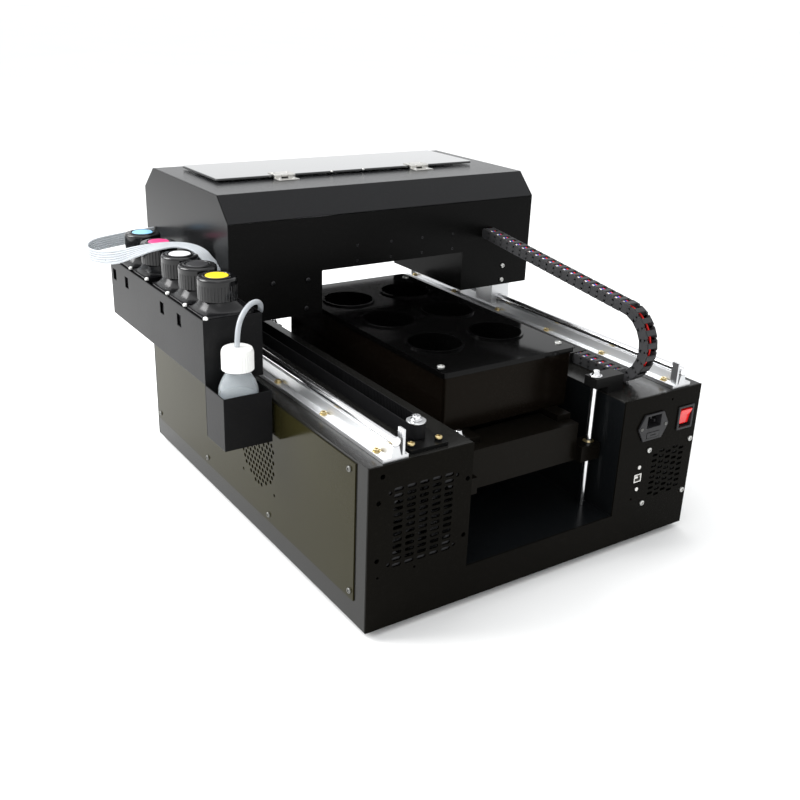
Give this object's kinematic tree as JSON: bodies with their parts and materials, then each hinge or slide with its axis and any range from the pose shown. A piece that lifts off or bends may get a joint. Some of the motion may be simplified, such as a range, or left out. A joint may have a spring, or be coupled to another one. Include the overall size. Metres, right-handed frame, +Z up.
{
  "type": "flatbed uv printer",
  "caption": "Black sheet-steel flatbed UV printer: a gantry on rails crosses a lifting platen with round nests, with ink tray, drag chain and lid.",
  "frame": {"origin": "under the middle of the machine's box, on the plane of the feet", "axes": "+X to the machine's right, +Y to its back, along the gantry's travel, +Z up"},
  "size_m": [0.5793, 0.601, 0.4044],
  "materials": {
    "black_sheet": "semi-gloss black powder coat on bent sheet steel",
    "black_gloss": "polished black acrylic",
    "black_plastic": "moulded black plastic",
    "rubber": "moulded black rubber",
    "aluminium": "drawn and machined aluminium",
    "bright_steel": "plated or ground steel",
    "motor_steel": "black and bare steel laminations",
    "brass": "turned brass",
    "red_plastic": "glossy red plastic",
    "board_green": "green circuit board",
    "clear_plastic": "clear polyester",
    "white_tube": "milky silicone tube"
  },
  "bodies": {
    "base": {"base_chassis": "black_sheet", "casing_screws": "bright_steel", "control_board": "board_green", "deck_brackets": "black_sheet", "drag_chain_lower": "black_plastic", "fan_frames": "black_plastic", "front_plate": "black_sheet", "linear_shafts": "bright_steel", "power_inlet": "black_plastic", "power_supply": "aluminium", "rail_supports": "aluminium", "rear_plate": "black_sheet", "rubber_feet": "rubber", "side_panels": "black_sheet", "stepper_motors": "motor_steel", "switch_bezel": "black_plastic", "timing_belt": "rubber", "tower_covers": "black_sheet", "usb_port": "bright_steel"},
    "idler": {"idler_pulley": "aluminium"},
    "drive": {"drive_pulley": "aluminium"},
    "left_fan": {"left_fan_rotor": "black_plastic"},
    "right_fan": {"right_fan_rotor": "black_plastic"},
    "side_fan": {"side_fan_rotor": "black_plastic"},
    "fuse": {"fuse_drawer": "black_plastic"},
    "rocker": {"switch_rocker": "red_plastic"},
    "screw": {"lead_screw": "bright_steel"},
    "lift": {"lift_frame": "black_sheet", "lift_bushings": "brass", "platen_box": "black_sheet", "jig_plate": "black_gloss", "platen_screws": "bright_steel"},
    "chain_bend": {"drag_chain_bend": "black_plastic"},
    "gantry": {"gantry_front": "black_sheet", "gantry_cover": "black_sheet", "gantry_ends": "black_sheet", "gantry_chassis": "black_sheet", "gantry_screws": "bright_steel", "bearing_blocks": "aluminium", "belt_clamp": "aluminium", "cross_rail": "aluminium", "cross_motor": "motor_steel", "capping_station": "black_plastic", "hinge_leaves": "bright_steel", "ink_tray": "black_sheet", "ink_tanks": "black_plastic", "bottle_holder": "black_sheet", "waste_bottle": "clear_plastic", "drag_chain_upper": "black_plastic", "ink_ribbon": "white_tube", "waste_tube": "white_tube"},
    "carriage": {"print_carriage": "black_plastic", "print_head": "motor_steel"},
    "lid": {"lid": "black_gloss", "lid_leaves": "bright_steel"},
    "cap_yellow": {"ink_cap_yellow": "black_plastic"},
    "cap_black": {"ink_cap_black": "black_plastic"},
    "cap_white": {"ink_cap_white": "black_plastic"},
    "cap_magenta": {"ink_cap_magenta": "black_plastic"},
    "cap_blue": {"ink_cap_blue": "black_plastic"}
  },
  "joints": [
    {"name": "gantry_slide", "type": "slide", "parent": "base", "child": "gantry", "axis": [0, 1, 0], "range_m": [-0.3, 0], "deforming": ["drag_chain_upper"]},
    {"name": "chain_bend_slide", "type": "slide", "parent": "base", "child": "chain_bend", "axis": [0, 1, 0], "range_m": [-0.151, 0.001], "deforming": ["drag_chain_lower"]},
    {"name": "idler_spin", "type": "hinge", "parent": "base", "child": "idler", "pos_m": [-0.13085, -0.2635, 0.211], "axis": [0, 0, 1], "range_deg": [-1840, 20]},
    {"name": "drive_spin", "type": "hinge", "parent": "base", "child": "drive", "pos_m": [-0.13085, 0.2575, 0.211], "axis": [0, 0, 1], "range_deg": [-1840, 20]},
    {"name": "lift_slide", "type": "slide", "parent": "base", "child": "lift", "axis": [0, 0, 1], "range_m": [-0.045, 0.04]},
    {"name": "screw_spin", "type": "hinge", "parent": "base", "child": "screw", "pos_m": [0.03015, -0.0375, 0.098], "axis": [0, 0, 1], "range_deg": [-2050, 1825]},
    {"name": "carriage_slide", "type": "slide", "parent": "gantry", "child": "carriage", "axis": [1, 0, 0], "range_m": [-0.33, 0]},
    {"name": "lid_hinge", "type": "hinge", "parent": "gantry", "child": "lid", "pos_m": [0.03015, 0.1305, 0.4022], "axis": [1, 0, 0], "range_deg": [0, 110]},
    {"name": "cap_yellow_turn", "type": "hinge", "parent": "gantry", "child": "cap_yellow", "pos_m": [-0.23985, -0.0235, 0.308], "axis": [0, 0, 1], "range_deg": [0, 540]},
    {"name": "cap_black_turn", "type": "hinge", "parent": "gantry", "child": "cap_black", "pos_m": [-0.23985, 0.0315, 0.308], "axis": [0, 0, 1], "range_deg": [0, 540]},
    {"name": "cap_white_turn", "type": "hinge", "parent": "gantry", "child": "cap_white", "pos_m": [-0.23985, 0.0845, 0.308], "axis": [0, 0, 1], "range_deg": [0, 540]},
    {"name": "cap_magenta_turn", "type": "hinge", "parent": "gantry", "child": "cap_magenta", "pos_m": [-0.23985, 0.1535, 0.308], "axis": [0, 0, 1], "range_deg": [0, 540]},
    {"name": "cap_blue_turn", "type": "hinge", "parent": "gantry", "child": "cap_blue", "pos_m": [-0.23985, 0.2105, 0.308], "axis": [0, 0, 1], "range_deg": [0, 540]},
    {"name": "rocker_tilt", "type": "hinge", "parent": "base", "child": "rocker", "pos_m": [0.24565, -0.2945, 0.159], "axis": [-1, 0, 0], "range_deg": [0, 22]},
    {"name": "fuse_drawer_slide", "type": "slide", "parent": "base", "child": "fuse", "axis": [0, -1, 0], "range_m": [0, 0.018]},
    {"name": "left_fan_spin", "type": "hinge", "parent": "base", "child": "left_fan", "pos_m": [-0.14065, -0.2825, 0.1243], "axis": [0, 1, 0], "continuous": true},
    {"name": "right_fan_spin", "type": "hinge", "parent": "base", "child": "right_fan", "pos_m": [0.22515, -0.2825, 0.0913], "axis": [0, 1, 0], "continuous": true},
    {"name": "side_fan_spin", "type": "hinge", "parent": "base", "child": "side_fan", "pos_m": [-0.19285, -0.0545, 0.1185], "axis": [1, 0, 0], "continuous": true}
  ],
  "couplings": [
    {"joint": "chain_bend_slide", "follows": "gantry_slide", "ratio": 0.5},
    {"joint": "idler_spin", "follows": "gantry_slide", "rad_per_m": 105.26},
    {"joint": "drive_spin", "follows": "gantry_slide", "rad_per_m": 105.26},
    {"joint": "screw_spin", "follows": "lift_slide", "rad_per_m": 785.4}
  ]
}
